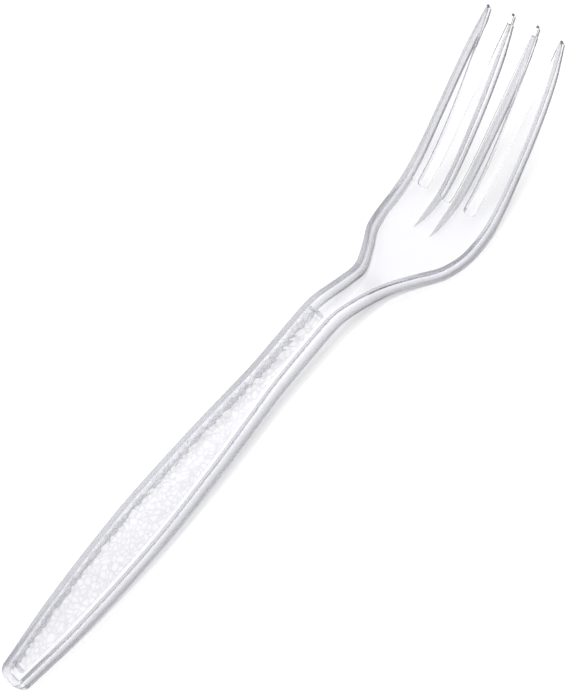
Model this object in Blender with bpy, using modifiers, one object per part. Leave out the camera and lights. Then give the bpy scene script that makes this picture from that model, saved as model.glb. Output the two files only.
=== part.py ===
"""A one-piece moulded plastic fork, lying as it rests on a table.

The fork is drawn flat, as the mould maker draws it: a plan outline, a pocket cut from below that leaves
the top plate, the skirt and the ribs, and a shallow recess for the grip panel. The flat blank is then bent
along its length, tilted until butt and bowl both touch the table, and trimmed where it stands.

X runs from the butt to the tines, Y across, +Z up. Lengths are written in millimetres and scaled by MM.
"""

import math

import bmesh
import bpy
from mathutils import Matrix, Vector

MM = 0.001

# Plan outline, in the flat: distance from the handle's datum, then half width.
BUTT_X = -2.4
BUTT_CORNER = 2.4
HALF_WIDTH = (
    (0.0, 3.60), (16.5, 5.56), (39.5, 6.60), (60.0, 5.86), (72.0, 4.94), (81.0, 4.22), (90.0, 4.08),
    (102.0, 4.12), (109.0, 4.46), (113.6, 5.34), (118.5, 8.40), (123.4, 11.85), (130.5, 13.45),
    (150.0, 13.30), (160.0, 12.90), (167.5, 12.20), (173.7, 11.05),
)
# Edges of the slots between the tines.
OUTER_TINE_INSIDE = ((138.0, 8.70), (152.0, 8.92), (160.0, 9.22), (168.0, 9.70), (173.7, 10.15))
INNER_TINE_OUTSIDE = ((138.0, 5.75), (150.0, 5.60), (158.0, 5.30), (166.0, 4.78), (174.2, 4.00))
INNER_TINE_INSIDE = ((138.0, 1.52), (152.0, 1.85), (158.0, 2.02), (166.0, 2.44), (174.2, 3.10))
SLOT_ROOT_X = 137.0
SLOT_CORNER = 1.0

# Side profile of the top face: distance from the datum, then height.
PROFILE = (
    (95.0, 0.0), (98.5, -0.12), (102.0, -0.80), (108.9, -4.20), (113.6, -6.75), (118.5, -8.20),
    (123.4, -9.45), (128.3, -10.48), (132.0, -10.62), (137.3, -9.85), (143.8, -7.50), (152.0, -3.40),
    (160.0, 1.00), (168.0, 5.70), (174.6, 9.70),
)

# Thicknesses and depths, all measured along Z, the way the mould opens.
PLATE = 1.2
SKIRT_WALL = 1.25
BLANK_DEPTH = 3.2
SKIRT_DEPTH = (
    (0.0, 3.20), (20.0, 3.45), (45.0, 3.60), (70.0, 4.00), (93.0, 4.45), (108.0, 4.30),
    (118.5, 3.95), (127.0, 3.70), (137.0, 3.40), (150.0, 2.80), (168.0, 2.40), (173.7, 1.60),
)
RIB_DEPTH = ((128.4, 1.35), (132.0, 1.80), (138.0, 2.50), (145.0, 2.85), (166.0, 2.85), (173.0, 1.60))
EDGE_ROUND = 0.25

# Ribs under the two inner tines: centre line, and half width, which comes to a point on the bowl.
RIB_CENTRE = ((128.4, 2.50), (137.0, 2.36), (152.0, 2.66), (160.0, 2.92), (168.0, 3.26), (173.0, 3.50))
RIB_HALF_WIDTH = 0.56
RIB_POINT_X = 128.4
RIB_POINT_LENGTH = 6.0
RIB_END_X = 173.0

# Grip panel on the handle.
PANEL_MARGIN = 1.75
PANEL_RECESS = 0.12
PANEL_START_X = 0.8
PANEL_END_X = 99.6
PANEL_CORNER = 0.8

# How finely curves are cut.
OUTLINE_STEP = 2.5
BEND_STEP = 1.6
HANDLE_STEP = 4.0
BEND_START_X = 95.0
ARC_STEPS = 4
FOOT_TRIM = 0.10
TRIMMER = (240.0, 60.0, 10.0)

COLOUR = (0.86, 0.88, 0.92, 1.0)


def smooth(stations, x):
    """Value at x of a smooth curve through hand-set (x, value) stations, flat beyond its ends."""
    if x <= stations[0][0]:
        return stations[0][1]
    if x >= stations[-1][0]:
        return stations[-1][1]
    last = len(stations) - 1
    right = next(i for i, (at, _) in enumerate(stations) if at >= x)
    left = right - 1

    def slope(i):
        """Slope at station i, from its neighbours."""
        low, high = max(i - 1, 0), min(i + 1, last)
        return (stations[high][1] - stations[low][1]) / (stations[high][0] - stations[low][0])

    span = stations[right][0] - stations[left][0]
    t = (x - stations[left][0]) / span
    return (
        (2 * t**3 - 3 * t**2 + 1) * stations[left][1]
        + (t**3 - 2 * t**2 + t) * span * slope(left)
        + (3 * t**2 - 2 * t**3) * stations[right][1]
        + (t**3 - t**2) * span * slope(right)
    )


def steps(start, end, step):
    """Evenly spaced values from start to end, both included, about step apart."""
    count = max(1, round(abs(end - start) / step))
    return [start + (end - start) * i / count for i in range(count + 1)]


def arc(centre, radius, start_deg, end_deg):
    """Points on an arc, both ends included."""
    angles = [math.radians(start_deg + (end_deg - start_deg) * i / ARC_STEPS) for i in range(ARC_STEPS + 1)]
    return [(centre[0] + radius * math.cos(a), centre[1] + radius * math.sin(a)) for a in angles]


def side(x, inset=0.0):
    """Point on the fork's outer edge at x, or on a line that runs inset inside it."""
    reach = 0.05
    slope = (smooth(HALF_WIDTH, x + reach) - smooth(HALF_WIDTH, x - reach)) / (2 * reach)
    if x <= HALF_WIDTH[0][0] or x >= HALF_WIDTH[-1][0]:
        slope = 0.0
    length = math.hypot(1.0, slope)
    return (x + inset * slope / length, smooth(HALF_WIDTH, x) - inset / length)


def outer_run(start, end, inset=0.0):
    """The outer edge from start to end, closer spaced where the head flares."""
    flare = (105.0, 130.0)
    if start > flare[0] or end < flare[1]:
        return [side(x, inset) for x in steps(start, end, OUTLINE_STEP)]
    xs = steps(start, flare[0], OUTLINE_STEP)[:-1] + steps(*flare, OUTLINE_STEP / 2)[:-1]
    return [side(x, inset) for x in xs + steps(flare[1], end, OUTLINE_STEP)]


def slot_side(stations, from_root):
    """One edge of a slot, from its root to the tine's tip or back."""
    xs = steps(stations[0][0], stations[-1][0], OUTLINE_STEP)
    points = [(x, smooth(stations, x)) for x in xs]
    return points if from_root else points[::-1]


def tip(outside, inside):
    """The round nib that closes a tine, between the ends of its two edges."""
    x = outside[-1][0]
    centre = (x, (outside[-1][1] + inside[-1][1]) / 2)
    radius = (outside[-1][1] - inside[-1][1]) / 2
    return arc(centre, radius, 90, -90)[1:-1]


def half_outline():
    """Half of the plan outline, from the butt round to the centre slot's root."""
    root_inner = SLOT_ROOT_X + SLOT_CORNER
    outer, mid = OUTER_TINE_INSIDE[0][1], INNER_TINE_OUTSIDE[0][1]
    centre = INNER_TINE_INSIDE[0][1]
    flat = HALF_WIDTH[0][1] - BUTT_CORNER
    points = [(BUTT_X, 0.0)] + arc((BUTT_X + BUTT_CORNER, flat), BUTT_CORNER, 180, 90)[:-1]
    points += outer_run(0.0, HALF_WIDTH[-1][0])
    points += tip(HALF_WIDTH, OUTER_TINE_INSIDE)
    points += slot_side(OUTER_TINE_INSIDE, from_root=False)[:-1]
    points += arc((root_inner, outer - SLOT_CORNER), SLOT_CORNER, 90, 180)
    points += arc((root_inner, mid + SLOT_CORNER), SLOT_CORNER, 180, 270)[:-1]
    points += slot_side(INNER_TINE_OUTSIDE, from_root=True)
    points += tip(INNER_TINE_OUTSIDE, INNER_TINE_INSIDE)
    points += slot_side(INNER_TINE_INSIDE, from_root=False)[:-1]
    points += arc((root_inner, centre - SLOT_CORNER), SLOT_CORNER, 90, 180)
    return points + [(SLOT_ROOT_X, 0.0)]


def pocket_outline():
    """Plan of the hollow inside the skirt. It runs past the centre line and past the tips."""
    overrun_x, overrun_y = 180.0, -4.0
    radius = BUTT_CORNER - SKIRT_WALL
    flat = HALF_WIDTH[0][1] - BUTT_CORNER
    points = [(BUTT_X + SKIRT_WALL, overrun_y)]
    points += arc((BUTT_X + BUTT_CORNER, flat), radius, 180, 90)[:-1]
    points += outer_run(0.0, 172.0, SKIRT_WALL)
    end_y = OUTER_TINE_INSIDE[-1][1]
    return points + [(HALF_WIDTH[-1][0], end_y), (overrun_x, end_y), (overrun_x, overrun_y)]


def rib_outline():
    """Plan of the rib under one inner tine: a blade that comes to a point on the bowl."""
    xs = [RIB_POINT_X + RIB_POINT_LENGTH * (i / ARC_STEPS) ** 2 for i in range(ARC_STEPS + 1)]
    xs += steps(xs[-1], RIB_END_X, OUTLINE_STEP)[1:]

    def half(x):
        """Half width of the blade at x."""
        share = min(1.0, (x - RIB_POINT_X) / RIB_POINT_LENGTH)
        return RIB_HALF_WIDTH * math.sin(share * math.pi / 2)

    upper = [(x, smooth(RIB_CENTRE, x) + half(x)) for x in xs]
    lower = [(x, smooth(RIB_CENTRE, x) - half(x)) for x in xs[1:]]
    return upper + lower[::-1]


def panel_outline():
    """Plan of the grip panel's recess. It runs past the centre line."""
    overrun = -4.0
    start_y = side(PANEL_START_X + PANEL_CORNER, PANEL_MARGIN)[1]
    end_y = side(PANEL_END_X - PANEL_CORNER, PANEL_MARGIN)[1]
    points = [(PANEL_START_X, overrun)]
    points += arc((PANEL_START_X + PANEL_CORNER, start_y - PANEL_CORNER), PANEL_CORNER, 180, 90)
    points += outer_run(PANEL_START_X + 2 * PANEL_CORNER, PANEL_END_X - 2 * PANEL_CORNER, PANEL_MARGIN)
    points += arc((PANEL_END_X - PANEL_CORNER, end_y - PANEL_CORNER), PANEL_CORNER, 90, 0)
    return points + [(PANEL_END_X, overrun)]


def collection(name):
    """A new collection in the scene."""
    made = bpy.data.collections.new(name)
    bpy.context.scene.collection.children.link(made)
    return made


def prism(name, outline, low, high, home):
    """A solid with a plan outline, between two heights."""
    curve = bpy.data.curves.new(name, "CURVE")
    curve.dimensions = "2D"
    curve.fill_mode = "BOTH"
    curve.extrude = (high - low) / 2 * MM
    spline = curve.splines.new("POLY")
    spline.points.add(len(outline) - 1)
    for point, (x, y) in zip(spline.points, outline):
        point.co = (x * MM, y * MM, 0.0, 1.0)
    spline.use_cyclic_u = True
    drawn = bpy.data.objects.new(name + "_curve", curve)
    home.objects.link(drawn)
    bpy.context.view_layer.update()
    mesh = bpy.data.meshes.new_from_object(drawn.evaluated_get(bpy.context.evaluated_depsgraph_get()))
    mesh.transform(Matrix.Translation((0.0, 0.0, (high + low) / 2 * MM)))
    bpy.data.objects.remove(drawn)
    bm = bmesh.new()
    bm.from_mesh(mesh)
    bmesh.ops.remove_doubles(bm, verts=bm.verts, dist=0.001 * MM)
    caps = [e for e in bm.edges if len(e.link_faces) == 2 and all(abs(f.normal.z) > 0.9 for f in e.link_faces)]
    bmesh.ops.dissolve_edges(bm, edges=caps, use_verts=False)
    bmesh.ops.recalc_face_normals(bm, faces=bm.faces)
    bm.to_mesh(mesh)
    bm.free()
    solid = bpy.data.objects.new(name, mesh)
    home.objects.link(solid)
    return solid


def cutter(solid):
    """Marks a solid as a cutter, shown in wire only."""
    solid.hide_render = True
    solid.display_type = "WIRE"
    return solid


def subtract(body, tool, name):
    """Adds a Boolean cut to a body."""
    cut = body.modifiers.new(name, "BOOLEAN")
    cut.operation = "DIFFERENCE"
    cut.solver = "EXACT"
    cut.object = tool


def apply_cuts(body):
    """Bakes a body's modifiers into its mesh."""
    bpy.context.view_layer.update()
    mesh = bpy.data.meshes.new_from_object(body.evaluated_get(bpy.context.evaluated_depsgraph_get()))
    body.modifiers.clear()
    bm = bmesh.new()
    bm.from_mesh(mesh)
    bmesh.ops.remove_doubles(bm, verts=bm.verts, dist=0.002 * MM)
    bmesh.ops.dissolve_degenerate(bm, dist=0.002 * MM, edges=bm.edges)
    bm.to_mesh(mesh)
    bm.free()
    body.data = mesh


def round_top_edges(body):
    """Rounds the top edge all round the outline, except along the centre line."""
    bm = bmesh.new()
    bm.from_mesh(body.data)
    edges = [
        e for e in bm.edges
        if all(abs(v.co.z) < 0.01 * MM for v in e.verts) and not all(v.co.y < 0.01 * MM for v in e.verts)
    ]
    bmesh.ops.bevel(bm, geom=edges, offset=EDGE_ROUND * MM, segments=2, profile=0.5, affect="EDGES",
                    clamp_overlap=True, material=-1)
    bm.to_mesh(body.data)
    bm.free()


def depth(x, y):
    """Depth of a wall's lower edge under the top face: the skirt's outside, a rib's near the middle."""
    is_rib = x >= RIB_POINT_X - 0.1 and y < INNER_TINE_OUTSIDE[0][1]
    return smooth(RIB_DEPTH if is_rib else SKIRT_DEPTH, x)


def bend(body):
    """Slices the flat half across its length and gives it the side profile and the wall depths."""
    bm = bmesh.new()
    bm.from_mesh(body.data)
    along_handle = steps(0.0, BEND_START_X, HANDLE_STEP)[:-1]
    along_head = steps(BEND_START_X, PROFILE[-1][0], BEND_STEP)[:-1]
    for x in along_handle + along_head:
        everything = bm.verts[:] + bm.edges[:] + bm.faces[:]
        bmesh.ops.bisect_plane(bm, geom=everything, dist=0.002 * MM, plane_co=(x * MM, 0, 0), plane_no=(1, 0, 0))
    on_centre = [f for f in bm.faces if all(abs(v.co.y) < 0.001 * MM for v in f.verts)]
    bmesh.ops.delete(bm, geom=on_centre, context="FACES")
    for v in bm.verts:
        x, y, z = (c / MM for c in v.co)
        if z < -PLATE - 0.01:
            share = (-z - PLATE) / (BLANK_DEPTH - PLATE)
            z = -PLATE - share * (depth(x, y) - PLATE)
        v.co.z = (z + smooth(PROFILE, x)) * MM
    bm.to_mesh(body.data)
    bm.free()


def lay_down(body):
    """Tilts the half until butt and bowl touch the table, sunk by the feet's depth, with X = 0 halfway."""
    butt = Vector((BUTT_X, 0.0, -SKIRT_DEPTH[0][1])) * MM
    lows = [v.co for v in body.data.vertices if v.co.x > BEND_START_X * MM]
    tilt = max(math.atan2(butt.z - low.z, low.x - butt.x) for low in lows)
    turn = Matrix.Translation(butt) @ Matrix.Rotation(-tilt, 4, "Y") @ Matrix.Translation(-butt)
    body.data.transform(turn)
    xs = [v.co.x for v in body.data.vertices]
    lowest = min(v.co.z for v in body.data.vertices)
    body.data.transform(Matrix.Translation((-(min(xs) + max(xs)) / 2, 0.0, -lowest - FOOT_TRIM * MM)))


def clear_plastic():
    """The moulding's clear plastic."""
    material = bpy.data.materials.new("clear_plastic")
    material.use_nodes = True
    shader = material.node_tree.nodes["Principled BSDF"]
    shader.inputs["Base Color"].default_value = COLOUR
    shader.inputs["Roughness"].default_value = 0.06
    shader.inputs["Metallic"].default_value = 0.0
    shader.inputs["IOR"].default_value = 1.59
    shader.inputs["Transmission Weight"].default_value = 0.9
    material.diffuse_color = COLOUR
    return material


def table_trimmer(home):
    """A block under the table's surface, which gives the fork its flat feet."""
    bpy.ops.mesh.primitive_cube_add(size=1.0)
    block = bpy.context.object
    block.name = "table_trimmer"
    block.data.transform(Matrix.Diagonal((TRIMMER[0] * MM, TRIMMER[1] * MM, TRIMMER[2] * MM, 1.0)))
    block.data.transform(Matrix.Translation((0.0, 0.0, -TRIMMER[2] / 2 * MM)))
    for owner in list(block.users_collection):
        owner.objects.unlink(block)
    home.objects.link(block)
    return cutter(block)


def main():
    """Builds the fork."""
    for old in list(bpy.data.objects):
        bpy.data.objects.remove(old)
    parts = collection("plastic_fork")
    tools = collection("cutters")

    fork = prism("fork", half_outline(), -BLANK_DEPTH, 0.0, parts)
    round_top_edges(fork)
    pocket = cutter(prism("pocket", pocket_outline(), -BLANK_DEPTH - 2.0, -PLATE, tools))
    rib = cutter(prism("rib", rib_outline(), -BLANK_DEPTH - 3.0, -PLATE + 1.0, tools))
    panel = cutter(prism("grip_panel", panel_outline(), -PANEL_RECESS, 1.0, tools))
    subtract(pocket, rib, "leave_rib")
    apply_cuts(pocket)
    subtract(fork, pocket, "hollow")
    subtract(fork, panel, "grip_panel")
    apply_cuts(fork)
    bend(fork)
    lay_down(fork)

    mirror = fork.modifiers.new("other_half", "MIRROR")
    mirror.use_axis = (False, True, False)
    mirror.use_clip = True
    mirror.merge_threshold = 0.00001
    subtract(fork, table_trimmer(tools), "feet")
    fork.data.materials.append(clear_plastic())
    fork.data.shade_smooth()
    fork.data.set_sharp_from_angle(angle=math.radians(35))


main()
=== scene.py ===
"""Visual model of a one-piece clear plastic fork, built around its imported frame."""

import logging
import math
from dataclasses import dataclass, field
from enum import Enum

import bmesh
import bpy
from mathutils import Matrix, Vector, noise


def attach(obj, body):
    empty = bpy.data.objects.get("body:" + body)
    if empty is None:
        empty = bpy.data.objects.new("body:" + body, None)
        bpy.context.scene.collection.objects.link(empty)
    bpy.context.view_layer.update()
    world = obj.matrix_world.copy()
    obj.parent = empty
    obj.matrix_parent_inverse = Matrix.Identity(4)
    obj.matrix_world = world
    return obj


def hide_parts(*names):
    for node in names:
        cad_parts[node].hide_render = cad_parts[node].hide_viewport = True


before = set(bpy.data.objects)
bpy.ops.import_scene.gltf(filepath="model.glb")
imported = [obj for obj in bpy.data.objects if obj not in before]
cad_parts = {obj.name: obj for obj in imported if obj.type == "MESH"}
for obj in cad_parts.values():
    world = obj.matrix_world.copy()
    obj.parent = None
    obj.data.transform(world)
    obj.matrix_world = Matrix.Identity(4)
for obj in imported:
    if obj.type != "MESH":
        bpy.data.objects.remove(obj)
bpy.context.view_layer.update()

MM = 0.001

# Tolerances and the reach of a cutting tool past the body, in millimetres.
HAIR = 0.0001
FINE_WELD = 0.001
WELD = 0.002
ON_LEVEL = 0.005
OFF_LEVEL = 0.01
OVERCUT = 1.0

# Vertex attributes that the finish reads: the share of painted shade in the grain's valleys, and the share
# of painted shade and roughness on the walls and the grip panel's end grooves.
VALLEY_SHADE = "valley_shade"
RIM_SHADE_AND_FROST = "rim"

LOG = logging.getLogger("fork")
Point = tuple[float, float]
Place = tuple[float, float, float]
Colour = tuple[float, float, float, float]


class Wall(Enum):
    """The two kinds of wall that hang under the fork's plate."""

    SKIRT = "skirt"
    RIB = "rib"


class Axis(Enum):
    """The two directions that the blank is sliced in."""

    ALONG = 0
    ACROSS = 1


@dataclass(frozen=True)
class Curve:
    """A smooth curve through a few given stations, flat beyond both ends."""

    stations: tuple[Point, ...]

    def _slope(self, index: int) -> float:
        """Slope at a station, from its neighbours."""
        low, high = max(index - 1, 0), min(index + 1, len(self.stations) - 1)
        (x0, y0), (x1, y1) = self.stations[low], self.stations[high]
        return (y1 - y0) / (x1 - x0)

    def at(self, x: float) -> float:
        """Value of the curve.

        Args:
            x: Distance along the fork, in millimetres.

        Returns:
            The curve's value there, in millimetres.
        """
        if x <= self.stations[0][0]:
            return self.stations[0][1]
        if x >= self.stations[-1][0]:
            return self.stations[-1][1]
        right = next(i for i, (at, _) in enumerate(self.stations) if at >= x)
        (x0, y0), (x1, y1) = self.stations[right - 1], self.stations[right]
        span = x1 - x0
        t = (x - x0) / span
        return (
            (2 * t**3 - 3 * t**2 + 1) * y0
            + (t**3 - 2 * t**2 + t) * span * self._slope(right - 1)
            + (3 * t**2 - 2 * t**3) * y1
            + (t**3 - t**2) * span * self._slope(right)
        )


def steps(start: float, end: float, step: float) -> list[float]:
    """Evenly spaced values, both ends included.

    Args:
        start: First value.
        end: Last value.
        step: Rough distance between values.

    Returns:
        The values in order.
    """
    count = max(1, round(abs(end - start) / step))
    return [start + (end - start) * i / count for i in range(count + 1)]


def arc(centre: Point, radius: float, start_deg: float, end_deg: float, count: int) -> list[Point]:
    """Points on an arc, both ends included.

    Args:
        centre: Centre of the arc.
        radius: Its radius.
        start_deg: Angle of the first point.
        end_deg: Angle of the last point.
        count: Number of chords.

    Returns:
        The points in order.
    """
    angles = [math.radians(start_deg + (end_deg - start_deg) * i / count) for i in range(count + 1)]
    return [(centre[0] + radius * math.cos(a), centre[1] + radius * math.sin(a)) for a in angles]


@dataclass(frozen=True)
class ForkPlan:
    """The fork's plan outline in the flat, in millimetres, for the +Y half."""

    butt_x: float = -2.4
    butt_corner: float = 2.4
    half_width: Curve = Curve((
        (0.0, 3.60), (16.5, 5.56), (39.5, 6.60), (60.0, 5.86), (72.0, 4.94), (81.0, 4.22), (90.0, 4.08),
        (102.0, 4.12), (109.0, 4.46), (113.6, 5.34), (118.5, 8.40), (123.4, 11.85), (130.5, 13.45),
        (150.0, 13.30), (160.0, 12.90), (167.5, 12.20), (173.7, 11.05),
    ))
    outer_tine_inside: Curve = Curve((
        (138.0, 8.70), (152.0, 8.92), (160.0, 9.22), (168.0, 9.70), (173.7, 10.15),
    ))
    inner_tine_outside: Curve = Curve((
        (138.0, 5.75), (150.0, 5.60), (158.0, 5.30), (166.0, 4.78), (174.2, 4.00),
    ))
    inner_tine_inside: Curve = Curve((
        (138.0, 1.52), (152.0, 1.85), (158.0, 2.02), (166.0, 2.44), (174.2, 3.10),
    ))
    slot_root_x: float = 137.0
    slot_corner: float = 1.0
    skirt_wall: float = 1.25
    rib_centre: Curve = Curve((
        (128.4, 2.50), (137.0, 2.36), (152.0, 2.66), (160.0, 2.92), (168.0, 3.26), (173.0, 3.50),
    ))
    rib_half_width: float = 0.56
    rib_point_x: float = 128.4
    rib_point_length: float = 6.0
    rib_end_x: float = 173.0
    panel_margin: float = 1.75
    panel_start_x: float = 0.8
    panel_end_x: float = 99.6
    panel_corner: float = 0.8
    pocket_end_gap: float = 1.7
    pocket_past_tips: float = 6.3
    overrun: float = 4.0
    slope_reach: float = 0.05
    step: float = 0.8
    arc_count: int = 10

    def side(self, x: float, inset: float = 0.0) -> Point:
        """Point on the outer edge, or on a line that runs inside it.

        Args:
            x: Distance along the fork.
            inset: How far inside the edge the line runs.

        Returns:
            The point in plan.
        """
        reach, stations = self.slope_reach, self.half_width.stations
        inside = stations[0][0] < x < stations[-1][0]
        rise = self.half_width.at(x + reach) - self.half_width.at(x - reach) if inside else 0.0
        slope = rise / (2 * reach)
        length = math.hypot(1.0, slope)
        return (x + inset * slope / length, self.half_width.at(x) - inset / length)

    def run(self, start: float, end: float, inset: float = 0.0) -> list[Point]:
        """Follows the outer edge, or a line inside it.

        Args:
            start: Distance along the fork of the first point.
            end: Distance along the fork of the last point.
            inset: How far inside the edge the line runs.

        Returns:
            The points in order.
        """
        return [self.side(x, inset) for x in steps(start, end, self.step)]

    def slot_side(self, edge: Curve, outward: bool) -> list[Point]:
        """Follows one edge of a slot.

        Args:
            edge: The edge's distance from the centre line.
            outward: Whether to go from the root to the tip, rather than back.

        Returns:
            The points in order.
        """
        xs = steps(edge.stations[0][0], edge.stations[-1][0], self.step)
        points = [(x, edge.at(x)) for x in xs]
        return points if outward else points[::-1]

    def nib(self, outside: Curve, inside: Curve) -> list[Point]:
        """Closes a tine with a round end.

        Args:
            outside: The tine's outer edge.
            inside: Its inner edge.

        Returns:
            The points between the ends of the two edges.
        """
        x, high = outside.stations[-1]
        low = inside.stations[-1][1]
        return arc((x, (high + low) / 2), (high - low) / 2, 90, -90, self.arc_count)[1:-1]

    def outline(self) -> list[Point]:
        """Half of the outline, from the butt round to the centre slot's root."""
        corner, count = self.slot_corner, self.arc_count
        root = self.slot_root_x + corner
        outer = self.outer_tine_inside.stations[0][1]
        middle = self.inner_tine_outside.stations[0][1]
        centre = self.inner_tine_inside.stations[0][1]
        flat = self.half_width.stations[0][1] - self.butt_corner
        points = [(self.butt_x, 0.0)]
        points += arc((self.butt_x + self.butt_corner, flat), self.butt_corner, 180, 90, count)[:-1]
        points += self.run(0.0, self.half_width.stations[-1][0])
        points += self.nib(self.half_width, self.outer_tine_inside)
        points += self.slot_side(self.outer_tine_inside, outward=False)[:-1]
        points += arc((root, outer - corner), corner, 90, 180, count)
        points += arc((root, middle + corner), corner, 180, 270, count)[:-1]
        points += self.slot_side(self.inner_tine_outside, outward=True)
        points += self.nib(self.inner_tine_outside, self.inner_tine_inside)
        points += self.slot_side(self.inner_tine_inside, outward=False)[:-1]
        points += arc((root, centre - corner), corner, 90, 180, count)
        return points + [(self.slot_root_x, 0.0)]

    def pocket(self) -> list[Point]:
        """The hollow inside the skirt, run past the centre line and the tips."""
        flat = self.half_width.stations[0][1] - self.butt_corner
        radius = self.butt_corner - self.skirt_wall
        end_x, end_y = self.outer_tine_inside.stations[-1]
        points = [(self.butt_x + self.skirt_wall, -self.overrun)]
        points += arc((self.butt_x + self.butt_corner, flat), radius, 180, 90, self.arc_count)[:-1]
        points += self.run(0.0, end_x - self.pocket_end_gap, self.skirt_wall)
        far_x = end_x + self.pocket_past_tips
        return points + [(end_x, end_y), (far_x, end_y), (far_x, -self.overrun)]

    def rib(self) -> list[Point]:
        """The blade under an inner tine, which comes to a point on the bowl."""
        count = self.arc_count
        xs = [self.rib_point_x + self.rib_point_length * (i / count) ** 2 for i in range(count + 1)]
        xs += steps(xs[-1], self.rib_end_x, self.step)[1:]
        upper = [(x, self.rib_centre.at(x) + self.rib_half(x)) for x in xs]
        lower = [(x, self.rib_centre.at(x) - self.rib_half(x)) for x in xs[1:]]
        return upper + lower[::-1]

    def rib_half(self, x: float) -> float:
        """Half width of the rib's blade at x."""
        share = min(1.0, (x - self.rib_point_x) / self.rib_point_length)
        return self.rib_half_width * math.sin(share * math.pi / 2)

    def panel(self) -> list[Point]:
        """The grip panel's recess, run past the centre line."""
        corner, start, end = self.panel_corner, self.panel_start_x, self.panel_end_x
        start_y = self.side(start + corner, self.panel_margin)[1]
        end_y = self.side(end - corner, self.panel_margin)[1]
        points = [(start, -self.overrun)]
        points += arc((start + corner, start_y - corner), corner, 180, 90, self.arc_count)
        points += self.run(start + 2 * corner, end - 2 * corner, self.panel_margin)
        points += arc((end - corner, end_y - corner), corner, 90, 0, self.arc_count)
        return points + [(end, -self.overrun)]


@dataclass(frozen=True)
class ForkSection:
    """The fork's side profile, wall depths and grain, in millimetres."""

    plate: float = 1.2
    blank_depth: float = 3.2
    edge_round: float = 0.28
    panel_recess: float = 0.12
    foot_trim: float = 0.10
    edge_segments: int = 4
    sharp_angle: float = 32.0
    bend_start_x: float = 95.0
    bend_step: float = 0.8
    handle_step: float = 2.0
    profile: Curve = Curve((
        (95.0, 0.0), (98.5, -0.12), (102.0, -0.80), (108.9, -4.20), (113.6, -6.75), (118.5, -8.20),
        (123.4, -9.45), (128.3, -10.48), (132.0, -10.62), (137.3, -9.85), (143.8, -7.50), (152.0, -3.40),
        (160.0, 1.00), (168.0, 5.70), (174.6, 9.70),
    ))
    skirt_depth: Curve = Curve((
        (0.0, 3.20), (20.0, 3.45), (45.0, 3.60), (70.0, 4.00), (93.0, 4.45), (108.0, 4.30),
        (118.5, 3.95), (127.0, 3.70), (137.0, 3.40), (150.0, 2.80), (168.0, 2.40), (173.7, 1.60),
    ))
    rib_depth: Curve = Curve((
        (128.4, 1.35), (132.0, 1.80), (138.0, 2.50), (145.0, 2.85), (166.0, 2.85), (173.0, 1.60),
    ))
    groove_inset: float = 0.55
    groove_half: float = 0.48
    groove_depth: float = 0.12
    clear_end_x: float = -0.8
    rib_lead: float = 0.1
    grain_step: float = 0.22
    grain_cell: float = 1.45
    grain_height: float = 0.09
    grain_level: float = 0.75
    grain_valley: float = 0.45
    warp_slice: float = 3.1
    warp_cells: float = 2.2
    warp_reach: float = 0.45

    def depth(self, x: float, wall: Wall) -> float:
        """Depth of a wall's lower edge under the top face."""
        return (self.rib_depth if wall is Wall.RIB else self.skirt_depth).at(x)

    def pebble(self, x: float, y: float) -> float:
        """Shape of the pebbled grain on the grip panel.

        Args:
            x: Distance along the fork.
            y: Distance across.

        Returns:
            0 in the valleys between pebbles, 1 on their tops.
        """
        drift = Vector((x, y, self.warp_slice)) / (self.warp_cells * self.grain_cell)
        spot = Vector((x, y, 0.0)) / self.grain_cell + noise.noise_vector(drift) * self.warp_reach
        near = noise.voronoi(spot, distance_metric="DISTANCE")[0]
        share = min(1.0, (near[1] - near[0]) / self.grain_valley)
        return share * (2.0 - share)


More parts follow.
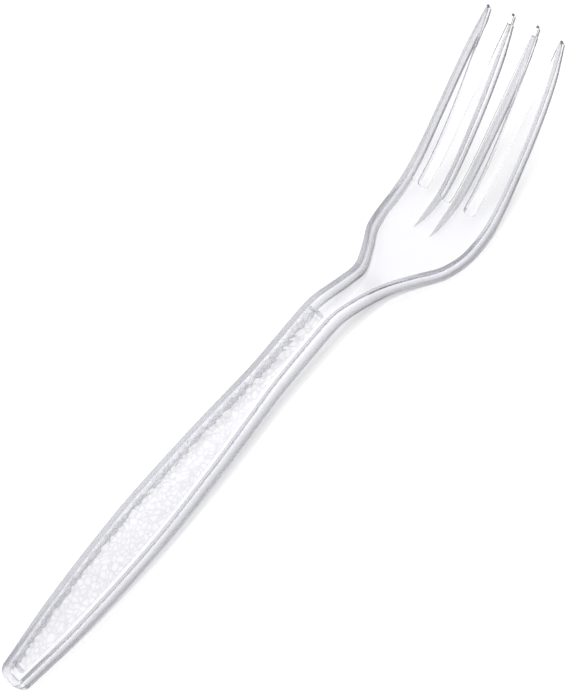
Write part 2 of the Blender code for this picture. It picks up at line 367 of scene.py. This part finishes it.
class Mould:
    """Turns the plan and section into the fork's mesh."""

    def __init__(self, plan: ForkPlan, section: ForkSection) -> None:
        """Keeps the fork's plan and section."""
        self.plan = plan
        self.section = section
        self.to_world = Matrix.Identity(4)

    def prism(self, name: str, outline: list[Point], low: float, high: float) -> bpy.types.Object:
        """A solid with a plan outline.

        Args:
            name: Name of the solid.
            outline: Its plan, in millimetres.
            low: Height of its underside.
            high: Height of its top.

        Returns:
            The new object.
        """
        bm = bmesh.new()
        rim = [bm.verts.new((x * MM, y * MM, low * MM)) for x, y in outline]
        base = bm.faces.new(rim)
        grown = bmesh.ops.extrude_face_region(bm, geom=[base])["geom"]
        raised = [v for v in grown if isinstance(v, bmesh.types.BMVert)]
        bmesh.ops.translate(bm, verts=raised, vec=(0.0, 0.0, (high - low) * MM))
        bmesh.ops.recalc_face_normals(bm, faces=bm.faces)
        mesh = bpy.data.meshes.new(name)
        bm.to_mesh(mesh)
        bm.free()
        solid = bpy.data.objects.new(name, mesh)
        bpy.context.scene.collection.objects.link(solid)
        return solid

    def round_edges(self, body: bpy.types.Object) -> None:
        """Rounds the top edge all round the outline, except along the centre line.

        Args:
            body: The half blank.
        """
        bm = bmesh.new()
        bm.from_mesh(body.data)
        flat = OFF_LEVEL * MM
        edges = [
            e for e in bm.edges
            if all(abs(v.co.z) < flat for v in e.verts) and not all(v.co.y < flat for v in e.verts)
        ]
        bmesh.ops.bevel(
            bm, geom=edges, offset=self.section.edge_round * MM, segments=self.section.edge_segments,
            profile=0.5, affect="EDGES", clamp_overlap=True, material=-1)
        bm.to_mesh(body.data)
        bm.free()

    def cut(self, body: bpy.types.Object, tool: bpy.types.Object) -> None:
        """Cuts a tool out of a body, then removes the tool.

        Args:
            body: What is cut. It gets a new mesh.
            tool: The solid that is taken away.
        """
        step = body.modifiers.new("cut", "BOOLEAN")
        step.operation = "DIFFERENCE"
        step.solver = "EXACT"
        step.object = tool
        bpy.context.view_layer.update()
        graph = bpy.context.evaluated_depsgraph_get()
        mesh = bpy.data.meshes.new_from_object(body.evaluated_get(graph))
        body.modifiers.clear()
        bm = bmesh.new()
        bm.from_mesh(mesh)
        bmesh.ops.remove_doubles(bm, verts=bm.verts, dist=WELD * MM)
        bmesh.ops.dissolve_degenerate(bm, dist=WELD * MM, edges=bm.edges)
        bm.to_mesh(mesh)
        bm.free()
        body.data = mesh
        bpy.data.objects.remove(tool)

    def slice(self, bm: bmesh.types.BMesh, axis: Axis, at: float, panel_only: bool) -> None:
        """Slices faces by a plane across one axis.

        Args:
            bm: The flat blank.
            axis: The direction that the plane faces.
            at: Where the plane stands on that axis.
            panel_only: Whether only the grip panel's floor is sliced.
        """
        faces = self.straddling(bm, axis, at, panel_only)
        geom = set(faces)
        for face in faces:
            geom.update(face.verts)
            geom.update(face.edges)
        place, normal = [0.0, 0.0, 0.0], [0.0, 0.0, 0.0]
        place[axis.value], normal[axis.value] = at * MM, 1.0
        bmesh.ops.bisect_plane(bm, geom=list(geom), dist=WELD * MM, plane_co=place, plane_no=normal)

    def straddling(
        self, bm: bmesh.types.BMesh, axis: Axis, at: float, panel_only: bool
    ) -> list[bmesh.types.BMFace]:
        """Finds the faces that a plane across one axis would slice.

        Args:
            bm: The flat blank.
            axis: The direction that the plane faces.
            at: Where the plane stands on that axis.
            panel_only: Whether only the grip panel's floor counts.

        Returns:
            The faces with points on both sides.
        """
        floor = -self.section.panel_recess * MM
        found = []
        for face in bm.faces:
            if panel_only and abs(face.verts[0].co.z - floor) > ON_LEVEL * MM:
                continue
            spots = [v.co[axis.value] for v in face.verts]
            if min(spots) < (at - HAIR) * MM and max(spots) > (at + HAIR) * MM:
                found.append(face)
        return found

    def whole(self, body: bpy.types.Object) -> bmesh.types.BMesh:
        """Joins the half blank to its mirror image on the centre line.

        Args:
            body: The half blank.

        Returns:
            The full flat blank.
        """
        bm = bmesh.new()
        bm.from_mesh(body.data)
        on_centre = [f for f in bm.faces if all(abs(v.co.y) < FINE_WELD * MM for v in f.verts)]
        bmesh.ops.delete(bm, geom=on_centre, context="FACES")
        everything = bm.verts[:] + bm.edges[:] + bm.faces[:]
        bmesh.ops.mirror(bm, geom=everything, matrix=Matrix.Identity(4), merge_dist=WELD * MM, axis="Y")
        bmesh.ops.remove_doubles(bm, verts=bm.verts, dist=FINE_WELD * MM)
        bmesh.ops.recalc_face_normals(bm, faces=bm.faces)
        return bm

    def tilt(self, bm: bmesh.types.BMesh) -> None:
        """Tilts the fork until butt and bowl both touch the table, and trims its feet flat.

        Args:
            bm: The bent fork, which is moved in place.
        """
        section = self.section
        butt = Vector((self.plan.butt_x, 0.0, -section.skirt_depth.stations[0][1])) * MM
        lows = [v.co for v in bm.verts if v.co.x > section.bend_start_x * MM]
        angle = max(math.atan2(butt.z - low.z, low.x - butt.x) for low in lows)
        turn = Matrix.Translation(butt) @ Matrix.Rotation(-angle, 4, "Y") @ Matrix.Translation(-butt)
        bmesh.ops.transform(bm, matrix=turn, verts=bm.verts)
        xs = [v.co.x for v in bm.verts]
        lowest = min(v.co.z for v in bm.verts)
        shift = Vector((-(min(xs) + max(xs)) / 2, 0.0, -lowest - section.foot_trim * MM))
        bmesh.ops.translate(bm, verts=bm.verts, vec=shift)
        self.to_world = Matrix.Translation(shift) @ turn
        everything = bm.verts[:] + bm.edges[:] + bm.faces[:]
        cut = bmesh.ops.bisect_plane(
            bm, geom=everything, dist=FINE_WELD * MM, plane_co=(0, 0, 0), plane_no=(0, 0, 1),
            clear_inner=True)
        rim = [e for e in cut["geom_cut"] if isinstance(e, bmesh.types.BMEdge)]
        bmesh.ops.holes_fill(bm, edges=rim, sides=0)

    def fork(self) -> bpy.types.Object:
        """Builds the whole fork.

        Returns:
            The fork's object, with its place in its mesh.
        """
        plan, section = self.plan, self.section
        body = self.prism("clear_fork", plan.outline(), -section.blank_depth, 0.0)
        self.round_edges(body)
        pocket_low = -section.blank_depth - 2 * OVERCUT
        pocket = self.prism("pocket", plan.pocket(), pocket_low, -section.plate)
        self.cut(pocket, self.prism("rib", plan.rib(), pocket_low - OVERCUT, OVERCUT - section.plate))
        self.cut(body, pocket)
        self.cut(body, self.prism("panel", plan.panel(), -section.panel_recess, OVERCUT))
        bm = self.whole(body)
        self.refine(bm)
        self.shape(bm)
        self.tilt(bm)
        bmesh.ops.triangulate(bm, faces=[f for f in bm.faces if len(f.verts) > 4])
        bm.to_mesh(body.data)
        bm.free()
        body.data.shade_smooth()
        body.data.set_sharp_from_angle(angle=math.radians(section.sharp_angle))
        flats = body.modifiers.new("flats", "WEIGHTED_NORMAL")
        flats.keep_sharp = True
        return body

    def refine(self, bm: bmesh.types.BMesh) -> None:
        """Slices the blank finely enough to bend, and its grip panel finely enough for the grain.

        Args:
            bm: The flat blank.
        """
        plan, section = self.plan, self.section
        along_handle = steps(0.0, section.bend_start_x, section.handle_step)[:-1]
        along_head = steps(section.bend_start_x, section.profile.stations[-1][0], section.bend_step)[:-1]
        for x in along_handle + along_head:
            self.slice(bm, Axis.ALONG, x, panel_only=False)
        for x in steps(plan.panel_start_x, plan.panel_end_x, section.grain_step)[1:-1]:
            self.slice(bm, Axis.ALONG, x, panel_only=True)
        widest = max(y for _, y in plan.panel())
        for y in steps(-widest, widest, section.grain_step)[1:-1]:
            self.slice(bm, Axis.ACROSS, y, panel_only=True)

    def groove(self, x: float) -> float:
        """Share of the shallow groove that closes each end of the grip panel, at x."""
        inset = self.section.groove_inset
        ends = (self.plan.panel_start_x + inset, self.plan.panel_end_x - inset)
        nearest = min(abs(x - end) for end in ends)
        return max(0.0, 1.0 - (nearest / self.section.groove_half) ** 2)

    def shape(self, bm: bmesh.types.BMesh) -> None:
        """Gives the flat blank its profile, wall depths and grain, and the shares of painted shade.

        Args:
            bm: The flat blank, whose points are moved and given their attributes.
        """
        section = self.section
        rib_from = self.plan.rib_point_x - section.rib_lead
        rib_side = self.plan.inner_tine_outside.stations[0][1]
        floor = -section.panel_recess
        valley_shade = bm.verts.layers.float.new(VALLEY_SHADE)
        rim = bm.verts.layers.float.new(RIM_SHADE_AND_FROST)
        panel = {
            v for v in bm.verts
            if all(abs(w.co.z / MM - floor) < ON_LEVEL for e in v.link_edges for w in e.verts)
        }
        for v in bm.verts:
            x, y, z = (c / MM for c in v.co)
            if v in panel:
                groove = self.groove(x)
                pebble = section.pebble(x, y) * (1.0 - groove)
                # Painted shade: darker in the valleys between pebbles and in the panel's end grooves.
                v[valley_shade] = 1.0 - pebble
                v[rim] = groove
                z += section.grain_height * (pebble - section.grain_level) - section.groove_depth * groove
            if z < -section.plate - OFF_LEVEL:
                wall = Wall.RIB if x >= rib_from and abs(y) < rib_side else Wall.SKIRT
                share = (-z - section.plate) / (section.blank_depth - section.plate)
                # Painted shade, with rougher gloss, that grows down the walls; the butt's end wall is left
                # clear of it.
                v[rim] = share if x > section.clear_end_x else 0.0
                z = -section.plate - share * (section.depth(x, wall) - section.plate)
            v.co.z = (z + section.profile.at(x)) * MM


class Socket:
    """A shader socket that takes part in sums and products."""

    def __init__(self, tree: "Nodes", socket: bpy.types.NodeSocket) -> None:
        """Keeps the tree and the wrapped socket."""
        self.tree = tree
        self.socket = socket

    def _maths(self, operation: str, left: object, right: object) -> "Socket":
        """One Math node."""
        return self.tree.node("ShaderNodeMath", {"operation": operation}, {0: left, 1: right})

    def __add__(self, other: object) -> "Socket":
        """Sum."""
        return self._maths("ADD", self, other)

    def __mul__(self, other: object) -> "Socket":
        """Product."""
        return self._maths("MULTIPLY", self, other)

    def __rsub__(self, other: object) -> "Socket":
        """Difference, taken from a plain number."""
        return self._maths("SUBTRACT", other, self)


class Nodes:
    """Makes the nodes of one material or world."""

    MIX_FIRST = 6
    MIX_SECOND = 7
    MIX_RESULT = 2

    def __init__(self, owner: bpy.types.Material | bpy.types.World) -> None:
        """Starts with an empty tree."""
        owner.use_nodes = True
        self.tree = owner.node_tree
        self.tree.nodes.clear()

    def node(
        self, kind: str, settings: dict[str, object], inputs: dict[int | str, object],
        output: int | str | None = 0,
    ) -> Socket | None:
        """Adds one node.

        Args:
            kind: The node's type.
            settings: Its own settings.
            inputs: Values or sockets for its inputs.
            output: Which output to hand back, if any.

        Returns:
            The chosen output.
        """
        made = self.tree.nodes.new(kind)
        for key, value in settings.items():
            setattr(made, key, value)
        for key, value in inputs.items():
            if isinstance(value, Socket):
                self.tree.links.new(value.socket, made.inputs[key])
            else:
                made.inputs[key].default_value = value
        return None if output is None else Socket(self, made.outputs[output])

    def blend(self, share: Socket, first: Socket | Colour, second: Socket | Colour) -> Socket:
        """Blends two colours.

        Args:
            share: How much of the second colour there is.
            first: Colour where the share is 0.
            second: Colour where it is 1.

        Returns:
            The blended colour.
        """
        inputs = {"Factor": share, self.MIX_FIRST: first, self.MIX_SECOND: second}
        return self.node("ShaderNodeMix", {"data_type": "RGBA"}, inputs, self.MIX_RESULT)


@dataclass(frozen=True)
class ClearPlastic:
    """Clear polystyrene, with faint flow marks in its gloss, and painted shade on its walls, on the grip
    panel's end grooves and in its grain's valleys.
    """

    tint: Colour = (0.99, 0.99, 0.996, 1.0)
    # Painted shade: darker tints for the grain's valleys, and for the walls and the grip panel's end
    # grooves.
    valley_shade_tint: Colour = (0.66, 0.66, 0.70, 1.0)
    rim_shade_tint: Colour = (0.54, 0.54, 0.58, 1.0)
    rim_frost: float = 0.25
    ior: float = 1.59
    gloss: float = 0.02
    gloss_spread: float = 0.05
    flow_stretch: Place = (0.35, 1.0, 1.0)
    flow_scale: float = 90.0
    flow_detail: float = 3.0
    fine_ratio: float = 6.0
    fine_detail: float = 2.0
    fine_share: float = 0.2
    ripple: float = 0.06
    ripple_height: float = 0.0005
    light_through: float = 0.98
    edge_shade: float = 1.2
    haze: Colour = (0.80, 0.80, 1.0, 1.0)
    haze_density: float = 30.0

    def material(self) -> bpy.types.Material:
        """Makes the material."""
        material = bpy.data.materials.new("clear_plastic")
        nodes = Nodes(material)
        where = nodes.node("ShaderNodeTexCoord", {}, {}, "Object")
        flow = nodes.node("ShaderNodeMapping", {}, {"Vector": where, "Scale": self.flow_stretch})
        marks = nodes.node("ShaderNodeTexNoise", {}, {
            "Vector": flow, "Scale": self.flow_scale, "Detail": self.flow_detail})
        fine = nodes.node("ShaderNodeTexNoise", {}, {
            "Vector": flow, "Scale": self.flow_scale * self.fine_ratio, "Detail": self.fine_detail})
        height = marks * (1.0 - self.fine_share) + fine * self.fine_share
        bump = nodes.node("ShaderNodeBump", {}, {
            "Height": height, "Strength": self.ripple, "Distance": self.ripple_height})
        valley_shade = nodes.node("ShaderNodeAttribute", {"attribute_name": VALLEY_SHADE}, {}, "Fac")
        rim = nodes.node("ShaderNodeAttribute", {"attribute_name": RIM_SHADE_AND_FROST}, {}, "Fac")
        # Painted shade: the grain's valleys, walls and end grooves blend to darker tints.
        colour = nodes.blend(valley_shade, self.tint, self.valley_shade_tint)
        colour = nodes.blend(rim, colour, self.rim_shade_tint)
        body = nodes.node("ShaderNodeBsdfPrincipled", {}, {
            "Base Color": colour, "Roughness": marks * self.gloss_spread + rim * self.rim_frost + self.gloss,
            "IOR": self.ior, "Transmission Weight": 1.0, "Normal": bump})
        lamp = nodes.node("ShaderNodeLightPath", {}, {}, "Is Shadow Ray")
        open_way = nodes.node("ShaderNodeBsdfTransparent", {}, {"Color": self.tint})
        slant = nodes.node("ShaderNodeLayerWeight", {}, {"Blend": 0.5}, "Facing")
        clear = lamp * (self.light_through - slant * slant * self.edge_shade)
        skin = nodes.node("ShaderNodeMixShader", {}, {0: clear, 1: body, 2: open_way})
        depth = nodes.node("ShaderNodeVolumeAbsorption", {}, {
            "Color": self.haze, "Density": self.haze_density})
        nodes.node("ShaderNodeOutputMaterial", {}, {"Surface": skin, "Volume": depth}, None)
        return material


@dataclass(frozen=True)
class PaleTable:
    """A matt white table."""

    colour: Colour = (0.90, 0.90, 0.90, 1.0)
    tooth_scale: float = 30.0
    tooth_detail: float = 2.0
    roughness: float = 0.7
    roughness_spread: float = 0.1
    shine: float = 0.1

    def material(self) -> bpy.types.Material:
        """Makes the material."""
        material = bpy.data.materials.new("pale_table")
        nodes = Nodes(material)
        where = nodes.node("ShaderNodeTexCoord", {}, {}, "Object")
        tooth = nodes.node("ShaderNodeTexNoise", {}, {
            "Vector": where, "Scale": self.tooth_scale, "Detail": self.tooth_detail})
        body = nodes.node("ShaderNodeBsdfPrincipled", {}, {
            "Base Color": self.colour, "Roughness": tooth * self.roughness_spread + self.roughness,
            "Specular IOR Level": self.shine})
        nodes.node("ShaderNodeOutputMaterial", {}, {"Surface": body}, None)
        return material


@dataclass(frozen=True)
class Panel:
    """A soft square light that faces the fork, and shows neither in its gloss nor through it."""

    name: str
    place: Place
    size: float
    power: float

    def hang(self) -> None:
        """Hangs the light."""
        light = bpy.data.lights.new(self.name, "AREA")
        light.shape = "SQUARE"
        light.size = self.size
        light.energy = self.power
        lamp = bpy.data.objects.new(self.name, light)
        aim = Vector(self.place).to_track_quat("Z", "Y").to_matrix().to_4x4()
        lamp.matrix_world = Matrix.Translation(self.place) @ aim
        lamp.visible_glossy = False
        lamp.visible_transmission = False
        bpy.context.scene.collection.objects.link(lamp)


@dataclass(frozen=True)
class Studio:
    """Table, soft light and camera, whose place is in the frame of the handle's flat top."""

    camera_mm: Place = (70.23, -189.6, 257.44)
    camera_right: Place = (0.6415, -0.6389, -0.4245)
    camera_up: Place = (0.7649, 0.4906, 0.4174)
    focal_length: float = 77.81
    sensor: float = 36.0
    nearest: float = 0.01
    farthest: float = 20.0
    table: float = 6.0
    table_gap: float = 0.05
    inner_bounces: int = 24
    low_sky: float = 0.12
    high_sky: float = 0.35
    glow_from: Place = (0.12, 0.59, 0.80)
    glow: float = 1.2
    glow_edge: float = 0.55
    pale_from: float = 0.9
    panels: tuple[Panel, ...] = (
        Panel("key", (0.0, -0.80, 1.90), 0.8, 38.0),
    )

    def place_camera(self, to_world: Matrix) -> None:
        """Places the camera.

        Args:
            to_world: The turn and shift from the handle's frame to the world.
        """
        right, up = Vector(self.camera_right), Vector(self.camera_up)
        right.normalize()
        up = (up - up.dot(right) * right).normalized()
        turned = Matrix((right, up, right.cross(up))).transposed().to_4x4()
        lens = bpy.data.cameras.new("camera")
        lens.sensor_width = self.sensor
        lens.sensor_fit = "AUTO"
        lens.lens = self.focal_length
        lens.clip_start = self.nearest
        lens.clip_end = self.farthest
        camera = bpy.data.objects.new("camera", lens)
        camera.matrix_world = to_world @ Matrix.Translation(Vector(self.camera_mm) * MM) @ turned
        bpy.context.scene.collection.objects.link(camera)
        bpy.context.scene.camera = camera

    def lay_table(self) -> None:
        """Lays the pale table."""
        bm = bmesh.new()
        bmesh.ops.create_grid(bm, x_segments=8, y_segments=8, size=self.table / 2)
        bmesh.ops.translate(bm, verts=bm.verts, vec=(0.0, 0.0, -self.table_gap * MM))
        mesh = bpy.data.meshes.new("table")
        bm.to_mesh(mesh)
        bm.free()
        table = bpy.data.objects.new("table", mesh)
        bpy.context.scene.collection.objects.link(table)
        mesh.materials.append(PaleTable().material())

    def trace_deep(self) -> None:
        """Lets light bounce on inside the clear plastic, where its walls guide it."""
        tracer = bpy.context.scene.cycles
        tracer.glossy_bounces = self.inner_bounces
        tracer.transmission_bounces = self.inner_bounces
        tracer.max_bounces = self.inner_bounces

    def light(self) -> None:
        """Lights the table: a dim surround that pales overhead and glows on one side, and a soft panel."""
        world = bpy.data.worlds.new("studio")
        bpy.context.scene.world = world
        nodes = Nodes(world)
        way = nodes.node("ShaderNodeTexCoord", {}, {}, "Generated")
        height = nodes.node("ShaderNodeSeparateXYZ", {}, {"Vector": way}, "Z")
        smooth = {"interpolation_type": "SMOOTHSTEP"}
        blend = nodes.node("ShaderNodeMapRange", smooth, {
            "Value": height, "From Min": 0.0, "From Max": self.pale_from,
            "To Min": self.low_sky, "To Max": self.high_sky})
        towards = {0: way, 1: self.glow_from}
        aim = nodes.node("ShaderNodeVectorMath", {"operation": "DOT_PRODUCT"}, towards, "Value")
        glow = nodes.node("ShaderNodeMapRange", smooth, {
            "Value": aim, "From Min": self.glow_edge, "From Max": 1.0, "To Min": 0.0, "To Max": self.glow})
        sky = nodes.node("ShaderNodeBackground", {}, {"Strength": blend + glow})
        nodes.node("ShaderNodeOutputWorld", {}, {"Surface": sky}, None)
        for panel in self.panels:
            panel.hang()


@dataclass
class Fork:
    """The clear fork: one moulding."""

    plan: ForkPlan = field(default_factory=ForkPlan)
    section: ForkSection = field(default_factory=ForkSection)
    finish: ClearPlastic = field(default_factory=ClearPlastic)

    def build(self) -> Matrix:
        """Builds and dresses the fork.

        Returns:
            The turn and shift from the handle's frame to the world.
        """
        mould = Mould(self.plan, self.section)
        body = mould.fork()
        body.data.materials.clear()
        body.data.materials.append(self.finish.material())
        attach(body, "root")
        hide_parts("fork")
        LOG.info("%s: %d faces", body.name, len(body.data.polygons))
        return mould.to_world


def main() -> None:
    """Builds the fork and its studio in order."""
    logging.basicConfig(level=logging.INFO, format="%(name)s: %(message)s")
    to_world = Fork().build()
    studio = Studio()
    studio.lay_table()
    studio.light()
    studio.place_camera(to_world)
    bpy.context.scene.view_settings.view_transform = "Standard"
    studio.trace_deep()


if __name__ == "__main__":
    main()
